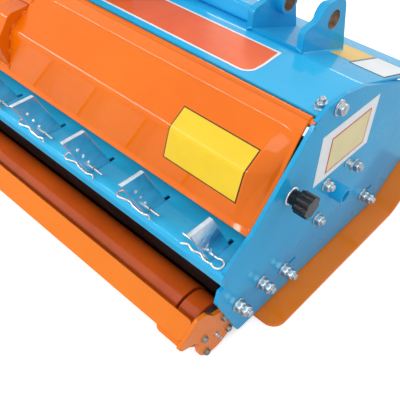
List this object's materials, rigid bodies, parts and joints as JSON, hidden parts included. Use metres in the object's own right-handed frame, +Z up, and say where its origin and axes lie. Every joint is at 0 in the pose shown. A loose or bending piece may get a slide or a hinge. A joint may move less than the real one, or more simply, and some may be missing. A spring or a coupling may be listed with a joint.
{
  "type": "tractor flail mulcher",
  "caption": "Rear three-point flail mulcher with a hinged rear hood, rake tines, support roller, skids, hammer rotor, gearbox and mast.",
  "frame": {"origin": "centre of the footprint on the ground, below the middle of the machine's outer box", "axes": "+Z up, +Y forward to the tractor, +X to the right-hand end seen from behind"},
  "size_m": [1.596, 0.7496, 0.9599],
  "materials": {
    "deck_blue": "glossy",
    "side_blue": "glossy",
    "cast_dark": "satin",
    "rotor_steel": "satin",
    "flail_steel": "rough",
    "hood_orange": "glossy",
    "knob_black": "satin",
    "zinc": "satin",
    "flap_rubber": "textured",
    "bracket_orange": "glossy",
    "roller_orange": "satin",
    "flap_steel": "satin"
  },
  "bodies": {
    "chassis": {"deck": "deck_blue", "side_plate_right": "side_blue", "side_plate_left": "side_blue", "rotor_bearings": "cast_dark", "latch_knobs": "knob_black", "latch_studs": "zinc", "rake_channel": "deck_blue", "rake_tines": "zinc", "rear_rubber_flap": "flap_rubber", "roller_brackets": "bracket_orange", "roller_beam": "bracket_orange", "roller_guards": "roller_orange", "roller_bearings": "cast_dark", "roller_scraper": "roller_orange", "skid_right": "bracket_orange", "skid_left": "bracket_orange", "front_flap_rod": "zinc", "hitch_crossbeam": "deck_blue", "hitch_lugs": "side_blue", "hitch_base_plates": "side_blue", "gearbox": "cast_dark", "drive_tube": "side_blue", "mast_plate_right": "side_blue", "mast_plate_left": "side_blue", "belt_cover": "deck_blue"},
    "hood": {"hood_panel": "hood_orange", "hood_hinge_bar": "hood_orange", "hood_rib": "hood_orange", "hood_catches": "hood_orange"},
    "rotor": {"rotor_tube": "rotor_steel", "rotor_ears": "rotor_steel", "rotor_hammers": "flail_steel"},
    "roller": {"roller_tube": "roller_orange"},
    "flap_row": {"front_flaps": "flap_steel"},
    "input": {"input_shaft": "rotor_steel"}
  },
  "joints": [
    {"name": "hood_swing", "type": "hinge", "parent": "chassis", "child": "hood", "pos_m": [0.016, -0.07121, 0.421], "axis": [-1, 0, 0], "range_deg": [0, 105]},
    {"name": "rotor_spin", "type": "hinge", "parent": "chassis", "child": "rotor", "pos_m": [0.016, 0.04479, 0.202], "axis": [1, 0, 0], "continuous": true},
    {"name": "roller_spin", "type": "hinge", "parent": "chassis", "child": "roller", "pos_m": [0.016, -0.28021, 0.054], "axis": [1, 0, 0], "continuous": true},
    {"name": "front_flaps_swing", "type": "hinge", "parent": "chassis", "child": "flap_row", "pos_m": [0.016, 0.35679, 0.264], "axis": [1, 0, 0], "range_deg": [-40, 0]},
    {"name": "input_spin", "type": "hinge", "parent": "chassis", "child": "input", "pos_m": [0.122, 0.07479, 0.59], "axis": [0, 1, 0], "continuous": true}
  ],
  "couplings": [
    {"joint": "input_spin", "follows": "rotor_spin", "ratio": 0.27}
  ]
}
